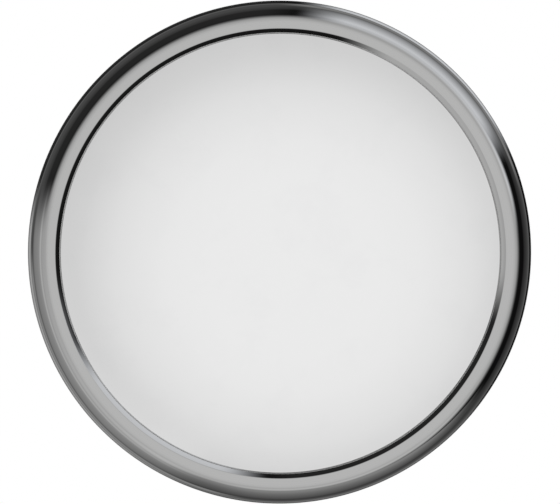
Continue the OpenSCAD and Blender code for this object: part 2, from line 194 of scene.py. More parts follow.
scrim_way = add_node(studio, "VectorMath", {"operation": "DOT_PRODUCT"})
studio.links.new(look, scrim_way.inputs[0])
scrim_way.inputs[1].default_value = (
    math.sin(scrim_tilt) * math.cos(scrim_turn),
    -math.cos(scrim_tilt),
    math.sin(scrim_tilt) * math.sin(scrim_turn))
off_scrim = calc(studio, "DEGREES", calc(studio, "ARCCOSINE", scrim_way.outputs["Value"]))
scrim = add_node(studio, "ValToRGB", Fac=calc(studio, "DIVIDE", off_scrim, 180.0))
while len(scrim.color_ramp.elements) < len(scrim_stops):
    scrim.color_ramp.elements.new(0.5)
for stop, (angle, level) in zip(scrim.color_ramp.elements, scrim_stops.items()):
    stop.position = angle / 180
    stop.color = (level, level, level, 1)


def add_light(first, second):
    total = add_node(studio, "VectorMath", {"operation": "ADD"})
    fill(studio, total.inputs[0], first)
    fill(studio, total.inputs[1], second)
    return total.outputs["Vector"]


light = add_light(scrim.outputs["Color"], (dark_room,) * 3)
for sides, ends, levels, tint in panels.values():
    level = add_node(studio, "MapRange", Value=tilt)
    level.inputs["From Min"].default_value, level.inputs["From Max"].default_value = ends[0]
    level.inputs["To Min"].default_value, level.inputs["To Max"].default_value = levels
    shape = calc(studio, "MULTIPLY", between(studio, turn, *sides), between(studio, tilt, *ends))
    glow = add_node(studio, "VectorMath", {"operation": "SCALE"},
                    Scale=calc(studio, "MULTIPLY", shape, level.outputs["Result"]))
    glow.inputs[0].default_value = tint
    light = add_light(light, glow.outputs["Vector"])
painted = add_node(studio, "Background", Color=light)
white = add_node(studio, "Background", Color=(1, 1, 1, 1))
seen = add_node(studio, "MixShader", Fac=add_node(studio, "LightPath").outputs["Is Camera Ray"])
studio.links.new(painted.outputs[0], seen.inputs[1])
studio.links.new(white.outputs[0], seen.inputs[2])
add_node(studio, "OutputWorld", Surface=seen.outputs[0])
bpy.context.scene.view_settings.view_transform = "Standard"
print("studio has", len(studio.nodes), "nodes")

# %% [markdown]
# ## The floor
# The mirror hangs on a wall, so the floor lies well below it and only the higher views show it. It
# fades into the white background, it is left out of reflections, because no floor shows in the
# steel of the photograph, and from underneath it is clear, so that it never hides the object.

# %% Lay the floor
floor_drop = 0.95
floor_half = 3.2
floor_plain = 0.7
floor_tones = (0.84, 0.90)
floor_lift = 0.45
square = ((-1, -1), (1, -1), (1, 1), (-1, 1))
floor_mesh = bpy.data.meshes.new("floor")
floor_corners = [(x * floor_half, y * floor_half, -floor_drop) for x, y in square]
floor_mesh.from_pydata(floor_corners, [], [(0, 1, 2, 3)])
floor = bpy.data.objects.new("floor", floor_mesh)
bpy.context.scene.collection.objects.link(floor)
floor.visible_glossy = False

floor_paint = bpy.data.materials.new("pale_floor")
floor_paint.use_nodes = True
floor_tree = floor_paint.node_tree
floor_tree.nodes.clear()
speckle = add_node(floor_tree, "TexNoise", Scale=90.0, Detail=3.0)
tone = add_node(floor_tree, "MapRange", Value=speckle.outputs["Fac"])
tone.inputs["To Min"].default_value, tone.inputs["To Max"].default_value = floor_tones
matt = add_node(floor_tree, "BsdfDiffuse", Color=tone.outputs["Result"])
lift = add_node(floor_tree, "Emission", Color=(1, 1, 1, 1))
lift.inputs["Strength"].default_value = floor_lift
lit = add_node(floor_tree, "AddShader")
floor_tree.links.new(matt.outputs[0], lit.inputs[0])
floor_tree.links.new(lift.outputs[0], lit.inputs[1])
floor_place = add_node(floor_tree, "VectorMath", {"operation": "LENGTH"})
floor_tree.links.new(add_node(floor_tree, "TexCoord").outputs["Object"], floor_place.inputs[0])
faded = soft_step(floor_tree, floor_place.outputs["Value"], floor_plain, floor_half)
under = add_node(floor_tree, "NewGeometry").outputs["Backfacing"]
clear = calc(floor_tree, "MAXIMUM", faded, under)
floor_view = add_node(floor_tree, "MixShader", Fac=clear)
floor_tree.links.new(lit.outputs[0], floor_view.inputs[1])
floor_tree.links.new(add_node(floor_tree, "BsdfTransparent").outputs[0], floor_view.inputs[2])
add_node(floor_tree, "OutputMaterial", Surface=floor_view.outputs[0])
floor_mesh.materials.append(floor_paint)
print("floor", floor_drop, "m below the mirror's middle")

# %% [markdown]
# ## The card below
# The bottom of the crown is lit from close by: a pale card lies under the mirror, just out of the
# picture. It has to be a real surface and not one more panel of the world, because only the near
# bottom of the rim sees it. From the top of the rim the same direction passes in front of the card
# and stays dark.

# %% Lay the card
card_z = -0.6
card_x = (-0.6, 0.95)
card_y = (rim_y - 0.37, rim_y + 0.25)
card_levels = {0.0: 0.46, 0.2: 0.40, 0.4: 0.28, 0.6: 0.20, 0.8: 0.13, 1.0: 0.05}
card_soft = (0.3, 0.02)
card_mesh = bpy.data.meshes.new("low_card")
card_corners = [(card_x[i], card_y[j], card_z) for i, j in ((0, 0), (1, 0), (1, 1), (0, 1))]
card_mesh.from_pydata(card_corners, [], [(0, 1, 2, 3)])
card = bpy.data.objects.new("low_card", card_mesh)
bpy.context.scene.collection.objects.link(card)
card.visible_camera = False
card.visible_shadow = False

card_paint = bpy.data.materials.new("pale_card")
card_paint.use_nodes = True
card_tree = card_paint.node_tree
card_tree.nodes.clear()
card_spot = add_node(card_tree, "TexCoord").outputs["Object"]
card_place = add_node(card_tree, "SeparateXYZ", Vector=card_spot)
backward = add_node(card_tree, "MapRange", Value=card_place.outputs["Y"])
backward.inputs["From Min"].default_value, backward.inputs["From Max"].default_value = card_y
fade = add_node(card_tree, "ValToRGB", Fac=backward.outputs["Result"])
while len(fade.color_ramp.elements) < len(card_levels):
    fade.color_ramp.elements.new(0.5)
for stop, (share, level) in zip(fade.color_ramp.elements, card_levels.items()):
    stop.position = share
    stop.color = (level, level, level, 1)
spans = []
for axis, limits, soft in zip("XY", (card_x, card_y), card_soft):
    inside = (limits[0] + soft, limits[1] - soft)
    spans.append(between(card_tree, card_place.outputs[axis], inside, soft))
card_shape = calc(card_tree, "MULTIPLY", *spans)
card_glow = add_node(card_tree, "Emission", Color=fade.outputs["Color"])
card_view = add_node(card_tree, "MixShader", Fac=card_shape)
card_tree.links.new(add_node(card_tree, "BsdfTransparent").outputs[0], card_view.inputs[1])
card_tree.links.new(card_glow.outputs[0], card_view.inputs[2])
add_node(card_tree, "OutputMaterial", Surface=card_view.outputs[0])
card_mesh.materials.append(card_paint)
print("card", round(1000 * (card_y[1] - card_y[0])), "mm deep,", round(-1000 * card_z), "mm below")

# %% [markdown]
# ## Shared effects
# Five effects make the surfaces look used: fine grain, settled dust, hand marks, the fine rings
# that a polishing wheel leaves, and rubbed edges. Most of them turn up on several finishes, so each
# one is a node group, built once. A group only gives out masks and heights. The shader that uses
# them stays in the material, where its gloss can be set.

# %% Start a node group
def start_group(name, inputs, outputs):
    group = bpy.data.node_groups.new(name, "ShaderNodeTree")
    for label, kind, default in inputs:
        socket = group.interface.new_socket(
            name=label, in_out="INPUT", socket_type="NodeSocket" + kind)
        if default is not None:
            socket.default_value = default
    for label in outputs:
        group.interface.new_socket(name=label, in_out="OUTPUT", socket_type="NodeSocketFloat")
    taken_in = group.nodes.new("NodeGroupInput").outputs
    given_out = group.nodes.new("NodeGroupOutput").inputs
    return group, taken_in, given_out


print("group helper ready")

# %% Fine grain: a bumpy height and a soft blotch
fine_grain, given, made = start_group(
    "fine_grain", [("Vector", "Vector", None), ("Size", "Float", 0.001)], ["Height", "Blotch"])
grain_scale = calc(fine_grain, "DIVIDE", 1.0, given["Size"])
pits = add_node(
    fine_grain, "TexNoise", Vector=given["Vector"], Scale=grain_scale, Detail=3.0, Roughness=0.55)
blotch_scale = calc(fine_grain, "MULTIPLY", grain_scale, 0.06)
blotch = add_node(fine_grain, "TexNoise", Vector=given["Vector"], Scale=blotch_scale, Detail=4.0)
fine_grain.links.new(pits.outputs["Fac"], made["Height"])
fine_grain.links.new(blotch.outputs["Fac"], made["Blotch"])
print("group", fine_grain.name)

# %% Settled dust: lies on faces that look up, in a patchy film
settled_dust, given, made = start_group(
    "settled_dust", [("Vector", "Vector", None), ("Amount", "Float", 0.3)], ["Mask"])
face_normal = add_node(settled_dust, "NewGeometry").outputs["Normal"]
facing = add_node(settled_dust, "SeparateXYZ", Vector=face_normal)
upward = soft_step(settled_dust, facing.outputs["Z"], 0.25, 1.0)
film = add_node(
    settled_dust, "TexNoise", Vector=given["Vector"], Scale=60.0, Detail=7.0, Roughness=0.6)
patchy = soft_step(settled_dust, film.outputs["Fac"], 0.1, 0.8)
lying = calc(settled_dust, "MULTIPLY", upward, patchy)
settled_dust.links.new(calc(settled_dust, "MULTIPLY", lying, given["Amount"]), made["Mask"])
print("group", settled_dust.name)

# %% Hand marks: faint smears left by wiping
hand_marks, given, made = start_group(
    "hand_marks", [("Vector", "Vector", None), ("Amount", "Float", 0.3)], ["Mask"])
drift = add_node(hand_marks, "TexNoise", Vector=given["Vector"], Scale=7.0, Detail=2.0)
bent = add_node(hand_marks, "VectorMath", {"operation": "MULTIPLY_ADD"})
hand_marks.links.new(drift.outputs["Color"], bent.inputs[0])
bent.inputs[1].default_value = (0.05, 0.05, 0.05)
hand_marks.links.new(given["Vector"], bent.inputs[2])
smear = add_node(
    hand_marks, "TexNoise", Vector=bent.outputs[0], Scale=26.0, Detail=6.0, Roughness=0.6)
wiped = soft_step(hand_marks, smear.outputs["Fac"], 0.48, 0.72)
hand_marks.links.new(calc(hand_marks, "MULTIPLY", wiped, given["Amount"]), made["Mask"])
print("group", hand_marks.name)

# %% Polishing rings: fine lines that run round the head's axis
polish_rings, given, made = start_group(
    "polish_rings", [("Vector", "Vector", None), ("Spacing", "Float", 0.0005)], ["Height"])
place = add_node(polish_rings, "SeparateXYZ", Vector=given["Vector"])
x_place, y_place, z_place = (place.outputs[axis] for axis in "XYZ")
z_square = calc(polish_rings, "MULTIPLY", z_place, z_place)
reach = calc(polish_rings, "SQRT", calc(polish_rings, "MULTIPLY_ADD", x_place, x_place, z_square))
along = calc(polish_rings, "ADD", reach, calc(polish_rings, "MULTIPLY", y_place, 0.7))
lines_per_metre = calc(polish_rings, "DIVIDE", 1.0, given["Spacing"])
ring_lines = add_node(
    polish_rings, "TexNoise", {"noise_dimensions": "1D"}, W=along, Scale=lines_per_metre, Detail=2.0)
polish_rings.links.new(ring_lines.outputs["Fac"], made["Height"])
print("group", polish_rings.name)

# %% Rubbed edges: where a rounded normal differs from the true one
rubbed_edges, given, made = start_group(
    "rubbed_edges", [("Vector", "Vector", None), ("Width", "Float", 0.001)], ["Mask"])
rounded = add_node(rubbed_edges, "Bevel", {"samples": 4}, Radius=given["Width"])
true_normal = add_node(rubbed_edges, "NewGeometry").outputs["Normal"]
agree = add_node(rubbed_edges, "VectorMath", {"operation": "DOT_PRODUCT"})
rubbed_edges.links.new(rounded.outputs["Normal"], agree.inputs[0])
rubbed_edges.links.new(true_normal, agree.inputs[1])
differs = calc(rubbed_edges, "SUBTRACT", 1.0, agree.outputs["Value"])
edge = soft_step(rubbed_edges, differs, 0.03, 0.25)
chips = add_node(rubbed_edges, "TexNoise", Vector=given["Vector"], Scale=420.0, Detail=4.0)
broken = soft_step(rubbed_edges, chips.outputs["Fac"], 0.42, 0.62)
rubbed_edges.links.new(calc(rubbed_edges, "MULTIPLY", edge, broken), made["Mask"])
print("group", rubbed_edges.name)

# %% [markdown]
# ## The finishes
# Every finish is one Principled shader. What is the same all over is set on its sockets, and what
# changes over the surface comes from the groups. Object coordinates are metres here, so each grain
# has its real size.

# %% Start a finish
def start_finish(name, metallic=0.0, **sockets):
    finish = bpy.data.materials.new(name)
    finish.use_nodes = True
    shader = finish.node_tree.nodes["Principled BSDF"]
    shader.inputs["Metallic"].default_value = metallic
    for key, value in sockets.items():
        shader.inputs[key.replace("_", " ")].default_value = value
    position = add_node(finish.node_tree, "TexCoord").outputs["Object"]
    return finish, finish.node_tree, shader, position


def use_group(tree, group, **sockets):
    return add_node(tree, "Group", {"node_tree": group}, **sockets).outputs


def mix_colour(tree, amount, first, second):
    mix = add_node(tree, "Mix", {"data_type": "RGBA"})
    fill(tree, mix.inputs[0], amount)
    fill(tree, mix.inputs[6], first)
    fill(tree, mix.inputs[7], second)
    return mix.outputs[2]


def spread(tree, value, low, high):
    ranged = add_node(tree, "MapRange", Value=value)
    ranged.inputs["To Min"].default_value = low
    ranged.inputs["To Max"].default_value = high
    return ranged.outputs["Result"]


def drive(tree, shader, **sockets):
    for key, value in sockets.items():
        tree.links.new(value, shader.inputs[key.replace("_", " ")])


def raise_surface(tree, shader, height, depth):
    bump = add_node(tree, "Bump", Height=height, Distance=depth)
    drive(tree, shader, Normal=bump.outputs["Normal"])


print("finish helpers ready")

# %% Polished stainless steel for the rim
polished_steel, tree, shader, position = start_finish("polished_steel", metallic=1.0)
rings = use_group(tree, polish_rings, Vector=position, Spacing=0.0004)["Height"]
marks = use_group(tree, hand_marks, Vector=position, Amount=0.5)["Mask"]
dust = use_group(tree, settled_dust, Vector=position, Amount=0.10)["Mask"]
steel_tone = mix_colour(tree, rings, (0.46, 0.46, 0.457, 1), (0.52, 0.52, 0.517, 1))
dusty_tone = mix_colour(tree, dust, steel_tone, (0.62, 0.61, 0.59, 1))
gloss = calc(tree, "ADD", spread(tree, rings, 0.025, 0.055), calc(tree, "MULTIPLY", marks, 0.06))
dull = calc(tree, "ADD", gloss, calc(tree, "MULTIPLY", dust, 0.3))
drive(tree, shader, Base_Color=dusty_tone, Roughness=dull)
raise_surface(tree, shader, rings, 0.000004)
print("finish", polished_steel.name)

# %% Silvered acrylic for the dome
silvered_acrylic, tree, shader, position = start_finish(
    "silvered_acrylic", metallic=1.0, Coat_Weight=0.6, Coat_Roughness=0.02, Coat_IOR=1.49)
marks = use_group(tree, hand_marks, Vector=position, Amount=0.6)["Mask"]
dust = use_group(tree, settled_dust, Vector=position, Amount=0.12)["Mask"]
silver_tone = mix_colour(tree, marks, (0.90, 0.90, 0.90, 1), (0.88, 0.88, 0.882, 1))
dusty_tone = mix_colour(tree, dust, silver_tone, (0.78, 0.77, 0.75, 1))
dull = calc(tree, "ADD", spread(tree, marks, 0.025, 0.07), calc(tree, "MULTIPLY", dust, 0.25))
drive(tree, shader, Base_Color=dusty_tone, Roughness=dull)
print("finish", silvered_acrylic.name)

# %% A finish that is a coat of paint, with grain, rubbed edges and dust
def painted_finish(name, colour, under, grain_size, rough, **sockets):
    finish, tree, shader, position = start_finish(name, **sockets)
    grain = use_group(tree, fine_grain, Vector=position, Size=grain_size)
    rubbed = use_group(tree, rubbed_edges, Vector=position, Width=0.0009)["Mask"]
    dust = use_group(tree, settled_dust, Vector=position, Amount=0.2)["Mask"]
    light_tone = tuple(1.35 * c for c in colour) + (1,)
    coat = mix_colour(tree, grain["Blotch"], colour + (1,), light_tone)
    worn = mix_colour(tree, rubbed, coat, under + (1,))
    dusty_tone = mix_colour(tree, dust, worn, (0.42, 0.40, 0.37, 1))
    patchy_gloss = spread(tree, grain["Blotch"], rough - 0.06, rough + 0.06)
    dull = calc(tree, "ADD", patchy_gloss, calc(tree, "MULTIPLY", dust, 0.3))
    drive(tree, shader, Base_Color=dusty_tone, Roughness=dull)
    raise_surface(tree, shader, grain["Height"], grain_size * 0.09)
    return finish


pan_paint = painted_finish(
    "textured_pan_paint", (0.058, 0.062, 0.068), (0.20, 0.20, 0.20), grain_size=0.0016, rough=0.46)
bracket_paint = painted_finish(
    "satin_bracket_paint", (0.022, 0.022, 0.024), (0.24, 0.24, 0.24), grain_size=0.0009, rough=0.40)
print("finishes", pan_paint.name, bracket_paint.name)

# %% A finish that is bare or plated metal
def metal_finish(name, colour, dark, grain_size, rough, depth):
    finish, tree, shader, position = start_finish(name, metallic=1.0)
    grain = use_group(tree, fine_grain, Vector=position, Size=grain_size)
    dust = use_group(tree, settled_dust, Vector=position, Amount=0.25)["Mask"]
    metal = mix_colour(tree, grain["Blotch"], dark + (1,), colour + (1,))
    dusty_tone = mix_colour(tree, dust, metal, (0.40, 0.38, 0.35, 1))
    patchy_gloss = spread(tree, grain["Blotch"], rough + 0.1, rough - 0.06)
    dull = calc(tree, "ADD", patchy_gloss, calc(tree, "MULTIPLY", dust, 0.4))
    drive(tree, shader, Base_Color=dusty_tone, Roughness=dull)
    raise_surface(tree, shader, grain["Height"], depth)
    return finish


zinc_plate = metal_finish(
    "zinc_plate", (0.66, 0.67, 0.69), (0.50, 0.52, 0.55), grain_size=0.0007, rough=0.28, depth=0.00001)
cast_zinc = metal_finish(
    "die_cast_zinc", (0.50, 0.51, 0.53), (0.36, 0.37, 0.39),
    grain_size=0.0009, rough=0.42, depth=0.00006)
bare_steel = metal_finish(
    "bare_steel", (0.52, 0.52, 0.52), (0.40, 0.40, 0.41), grain_size=0.0012, rough=0.34, depth=0.00002)
print("finishes", zinc_plate.name, cast_zinc.name, bare_steel.name)

# %% A finish that is a soft or moulded material
def moulded_finish(name, colour, tint, grain_size, rough, depth, **sockets):
    finish, tree, shader, position = start_finish(name, **sockets)
    grain = use_group(tree, fine_grain, Vector=position, Size=grain_size)
    dust = use_group(tree, settled_dust, Vector=position, Amount=0.2)["Mask"]
    body = mix_colour(tree, grain["Blotch"], colour + (1,), tint + (1,))
    dusty_tone = mix_colour(tree, dust, body, (0.45, 0.43, 0.40, 1))
    dull = spread(tree, grain["Height"], rough - 0.08, rough + 0.08)
    drive(tree, shader, Base_Color=dusty_tone, Roughness=dull)
    raise_surface(tree, shader, grain["Height"], depth)
    return finish


black_rubber = moulded_finish(
    "black_rubber", (0.012, 0.012, 0.012), (0.022, 0.022, 0.022),
    grain_size=0.0006, rough=0.62, depth=0.00003)
grey_foam = moulded_finish(
    "grey_foam", (0.07, 0.07, 0.075), (0.11, 0.11, 0.115), grain_size=0.0011, rough=0.9, depth=0.0005)
natural_nylon = moulded_finish(
    "natural_nylon", (0.72, 0.69, 0.60), (0.80, 0.77, 0.69),
    grain_size=0.0008, rough=0.42, depth=0.00002, Subsurface_Weight=0.25, Subsurface_Scale=0.002)
print("finishes", black_rubber.name, grey_foam.name, natural_nylon.name)

# %% [markdown]
# ## Turned pieces
# The rim, the dome, the pan and every bolt are round. Blender's Screw modifier could turn a
# section, but one function that stacks rings does more: each ring says its radius and height for
# any angle, so the same function makes a plain turned sheet, a hexagon head and a thread.

# %% Stack rings into a surface
def stack_rings(rings, steps, closed=False):
    verts = []
    for ring in rings:
        for i in range(steps):
            angle = 2 * math.pi * i / steps
            radius, height = ring(angle)
            verts.append((radius * math.cos(angle), radius * math.sin(angle), height))
    rows = range(len(rings) if closed else len(rings) - 1)
    faces = []
    for row in rows:
        low, high = row * steps, (row + 1) % len(rings) * steps
        for i in range(steps):
            after = (i + 1) % steps
            faces.append((low + i, low + after, high + after, high + i))
    return verts, faces


def turn_section(points, steps, closed=False):
    return stack_rings([lambda angle, p=p: (p[0], p[1]) for p in points], steps, closed)


def joined(*shapes):
    verts, faces = [], []
    for more_verts, more_faces in shapes:
        start = len(verts)
        verts += more_verts
        faces += [tuple(start + i for i in face) for face in more_faces]
    return verts, faces


print("ring stacking ready")

# %% Put a shape in its place as a piece
def axes(origin, x_way, z_way):
    x_way, z_way = Vector(x_way), Vector(z_way)
    turned = Matrix((x_way, z_way.cross(x_way), z_way)).transposed().to_4x4()
    return Matrix.Translation(origin) @ turned @ Matrix.Scale(MM, 4)


def make_piece(node, shape, places, finish, sharp=35):
    mesh = bpy.data.meshes.new(node + "_look")
    shell = bmesh.new()
    for place in places:
        corners = [shell.verts.new(place @ Vector(v)) for v in shape[0]]
        for face in shape[1]:
            shell.faces.new([corners[i] for i in face])
    bmesh.ops.remove_doubles(shell, verts=shell.verts, dist=2e-6)
    bmesh.ops.dissolve_degenerate(shell, edges=shell.edges, dist=1e-6)
    bmesh.ops.recalc_face_normals(shell, faces=shell.faces)
    shell.to_mesh(mesh)
    shell.free()
    mesh.shade_smooth()
    mesh.set_sharp_from_angle(angle=math.radians(sharp))
    piece = bpy.data.objects.new(node + "_look", mesh)
    bpy.context.scene.collection.objects.link(piece)
    mesh.materials.append(finish)
    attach(piece, body_of_node[node])
    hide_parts(node)
    low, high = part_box(node)
    box = [piece.matrix_world @ Vector(corner) for corner in piece.bound_box]
    off = 0
    for axis in range(3):
        reach = [corner[axis] for corner in box]
        off = max(off, abs(min(reach) - low[axis]), abs(max(reach) - high[axis]))
    print(piece.name, len(mesh.polygons), "faces; box within", round(off / MM, 2), "mm of the CAD node")
    return piece


on_head = axes(head_middle, (1, 0, 0), (0, -1, 0))
print("head frame at", [round(v, 4) for v in on_head.translation])

# %% [markdown]
# ## Folded sheet
# The rim starts as a flat strip of stainless steel. Rolls turn its outer edge out and under, bend
# the crown and the bevel, and fold a foot under it that holds the mirror. The path below is that
# fold: straight runs joined by round bends, each point with the direction to the sheet's other
# side.

# %% Bend a path and give it a sheet's thickness
def left_of(way):
    return Vector((-way.y, way.x))


def arc(centre, radius, start, turn, step):
    count = math.ceil(abs(turn) / step)
    pairs = []
    for i in range(count + 1):
        angle = math.radians(start + turn * i / count)
        out = Vector((math.cos(angle), math.sin(angle)))
        pairs.append((centre + radius * out, out))
    return pairs


def folded(path, bends, step):
    path = [Vector(p) for p in path]
    pairs = [(path[0], left_of((path[1] - path[0]).normalized()))]
    for before, corner, after, radius in zip(path, path[1:], path[2:], bends):
        way_in = (corner - before).normalized()
        way_out = (after - corner).normalized()
        turn = math.atan2(way_in.cross(way_out), way_in.dot(way_out))
        hand = math.copysign(1, turn)
        side = left_of(way_in)
        centre = corner - way_in * radius * math.tan(abs(turn) / 2) + side * radius * hand
        start = math.degrees(math.atan2(side.y, side.x))
        pairs += arc(centre, -radius * hand, start, math.degrees(turn), step)
    pairs.append((path[-1], left_of((path[-1] - path[-2]).normalized())))
    return pairs


def sheet(pairs, thickness):
    return [p for p, side in pairs] + [p + thickness * side for p, side in reversed(pairs)]


print("folding ready")

# %% [markdown]
# ## The rim
# The rim is what the photograph shows best: a thin rolled edge, a broad crowned band and a narrow
# bevel that leads down to the mirror. All of its character is in how it bends reflections, so the
# section has the same runs as the CAD one, with a tighter bend above the bevel, as the photograph
# shows it. It is turned in small steps and shaded smooth.

# %% Turn the rim
head_d = 450
rim_t = 0.8
roll_out = 3
roll_turn = 230
roll_lean = 30
roll_fold_r = 0.6
skirt_h = 10
sight_inset = 29.7
sight_r = head_d / 2 - sight_inset
land_w = 2.2
land_fall = math.radians(6)
bevel_w = 4
bevel_angle = math.radians(32)
bevel_bend = 2.5
foot_w = 6
hem_gap = 0.05
hem_r = rim_t + hem_gap
head_steps = 384

skirt_r = head_d / 2 - roll_out
bevel_top_r = sight_r + bevel_w
land_run = (skirt_r - bevel_top_r) / math.cos(land_fall)
crown_half_turn = (math.pi / 2 + land_fall) / 2
crown_r = (land_run - land_w) / math.tan(crown_half_turn)
crown_h = skirt_h + crown_r * math.tan(crown_half_turn)
bevel_top_h = crown_h - land_run * math.sin(land_fall)
hem_top_r = sight_r + hem_r - hem_r * math.sin(bevel_angle)
hem_top_h = bevel_top_h - (bevel_top_r - hem_top_r) * math.tan(bevel_angle)
foot_h = hem_top_h - hem_r * (1 + math.cos(bevel_angle))
foot_corner_r = hem_top_r - (hem_top_h - foot_h) / math.tan(bevel_angle)

roll_middle = Vector((head_d / 2 - roll_r, 0))
lean = math.radians(roll_lean)
roll_top = roll_middle + roll_r * Vector((math.sin(lean), math.cos(lean)))
skirt_low_h = roll_top.y + (roll_top.x - skirt_r) * math.tan(lean)
rolled_edge = arc(roll_middle, -roll_r, 270 - roll_lean - roll_turn, roll_turn, 6)
face = folded(
    [roll_top, (skirt_r, skirt_low_h), (skirt_r, crown_h), (bevel_top_r, bevel_top_h),
     (foot_corner_r, foot_h), (sight_r + foot_w, foot_h)],
    [roll_fold_r, crown_r, bevel_bend, hem_r], 2.5)
rim_outline = sheet(rolled_edge[:-1] + face, rim_t)
rim_shape = turn_section(rim_outline, head_steps, closed=True)
rim = make_piece("rim_ring", rim_shape, [on_head], polished_steel)

# %% [markdown]
# ## The dome
# The mirror is a shallow cap of clear acrylic, silvered behind and blown to a true sphere, with a
# flat flange that the rim traps. A sphere from a menu would give far more of the ball than is
# needed, so the cap is turned from one arc, with its rings crowded evenly along the curve.

# %% Turn the dome
dome_rise = 26
dome_t = 3
gasket_t = 0.6
flange_step = 6.5
flange_w = 6
back_inset = 1
flange_in = sight_r + flange_step
flange_out = flange_in + flange_w
dome_r = (sight_r ** 2 + dome_rise ** 2) / (2 * dome_rise)
dome_middle_h = foot_h - gasket_t + dome_rise - dome_r


def cap(radius, out, count):
    half = math.asin(out / radius)
    angles = [half * i / count for i in range(count + 1)]
    return [(radius * math.sin(a), dome_middle_h + radius * math.cos(a)) for a in angles]


front = cap(dome_r, flange_in, 72)
back = cap(dome_r - dome_t, flange_in - back_inset, 36)
flange_h = front[-1][1]
flange_low = flange_h - dome_t
flange = [(flange_out, flange_h), (flange_out, flange_low), (flange_in - back_inset, flange_low)]
dome_shape = turn_section(front + flange + back[::-1], head_steps)
dome = make_piece("mirror_dome", dome_shape, [on_head], silvered_acrylic, sharp=50)

# %% [markdown]
# ## The back pan
# The pan is pressed from thin steel: a flat pad for the bracket, a gently sloping floor with two
# stiffening rings, a wall, and a flange that is screwed to the rim. It is the same kind of fold as
# the rim.

# %% Turn the pan
pan_t = 1
clip_t = 1.5
pan_h = skirt_h - clip_t - pan_t
pan_depth = 27
pad_h = pan_h - pan_depth
pad_r = 62
pad_step = Vector((7, 5))
floor_rise = 4
wall_inset = 2
wall_lean = 14
clip_gap = 0.1
pan_gap = 0.5
press_w = 16
press_h = 3
press_bend = 2.5
wall_bend = 4
pan_steps = 256
floor_in = Vector((pad_r, pad_h)) + pad_step
wall_top = flange_in - wall_inset
floor_out = Vector((wall_top - wall_lean, floor_in.y + floor_rise))
pan_out = skirt_r - rim_t - clip_gap - clip_t - pan_gap


def pressed_ring(share):
    middle = floor_in.x + (floor_out.x - floor_in.x) * share
    points = []
    for step, drop in ((-2, 0), (-1, press_h), (1, press_h), (2, 0)):
        r = middle + step * press_w / 4
        rise = (floor_out.y - floor_in.y) * (r - floor_in.x) / (floor_out.x - floor_in.x)
        points.append((r, floor_in.y + rise - drop))
    return points


pan_path = [(0, pad_h), (pad_r, pad_h), floor_in, *pressed_ring(0.3), *pressed_ring(0.7), floor_out,
            (wall_top, pan_h), (pan_out, pan_h)]
pan_bends = [wall_bend] * 2 + [press_bend] * 8 + [wall_bend] * 2
pan_outline = sheet(folded(pan_path, pan_bends, 6), pan_t)
make_piece("back_pan", turn_section(pan_outline, pan_steps), [on_head], pan_paint)

# %% [markdown]
# ## Threads and hexagon heads
# A thread is a stack of rings whose radius rises and falls with height and angle together. A
# hexagon head is a stack of hexagonal rings cut by a cone, which gives the curved edges that real
# bolt heads have.

# %% Cut a thread
def thread(diameter, pitch, low, high, steps=32):
    depth = 0.61 * pitch
    rows = math.ceil((high - low) / pitch * 8)

    def ring_at(height):
        def ring(angle):
            phase = (height / pitch - angle / (2 * math.pi)) % 1
            groove = min(1, max(0, 2.6 * abs(phase - 0.5) - 0.15))
            lead = min(1, (height - low) / pitch, (high - height) / pitch)
            return diameter / 2 - depth * (1 - groove * lead), height
        return ring

    heights = [low + (high - low) * i / rows for i in range(rows + 1)]
    ends = [lambda angle: (0, low)], [lambda angle: (0, high)]
    return stack_rings(ends[0] + [ring_at(h) for h in heights] + ends[1], steps)


print("a 4 mm thread has", len(thread(4, 0.7, 0, 4)[1]), "faces")

# %% Cut a hexagon head or nut
def hexagon(flats, low, high, chamfer_low, chamfer_high, bore=0, steps=96):
    flat_r = 0.95 * flats / 2

    def outline(angle):
        sixth = math.pi / 3
        return flats / 2 / math.cos(angle % sixth - sixth / 2)

    def drop(angle):
        return (outline(angle) - flat_r) * math.tan(math.radians(30))

    rings = [lambda angle: (bore, low)]
    if chamfer_low:
        rings += [lambda angle: (flat_r, low), lambda angle: (outline(angle), low + drop(angle))]
    else:
        rings.append(lambda angle: (outline(angle), low))
    if chamfer_high:
        rings += [lambda angle: (outline(angle), high - drop(angle)), lambda angle: (flat_r, high)]
    else:
        rings.append(lambda angle: (outline(angle), high))
    rings.append(lambda angle: (bore, high))
    return stack_rings(rings, steps, closed=bore > 0)


def washer(outer, bore, low, high, edge=0.15):
    section = [(bore, low), (outer - edge, low), (outer, low + edge),
               (outer, high - edge), (outer - edge, high), (bore, high)]
    return turn_section(section, 72, closed=True)


print("a hexagon head has", len(hexagon(10, 0, 4, False, True)[1]), "faces")

# %% [markdown]
# ## The yoke bolts, washers and nuts
# Four bolts go through the head's yoke, the pan and the spreader plate. Only their heads and
# washers show behind the head. The same nut holds the wall yoke to its plate.

# %% Bolt the yokes
yoke_t = 4
spreader_t = 3
bolt_d = 6
bolt_pitch = 1.0
flats = 10
head_h = 4
nut_h = 5
washer_t = 1.2
thread_out = 1.8
bolt_gap = 0.2
plate_t = 5
bolt_x, bolt_z = 12, 20
bolt_places = [(x, z) for x in (-bolt_x, bolt_x) for z in (-bolt_z, bolt_z)]
pad_y = rim_y - pad_h * MM
on_head_yoke = axes((0, pad_y, 0), (1, 0, 0), (0, 1, 0))
on_wall_yoke = axes((0, -plate_t * MM, 0), (0, 0, 1), (0, -1, 0))


def at_bolts(place):
    return [place @ Matrix.Translation((x, y, 0)) for x, y in bolt_places]


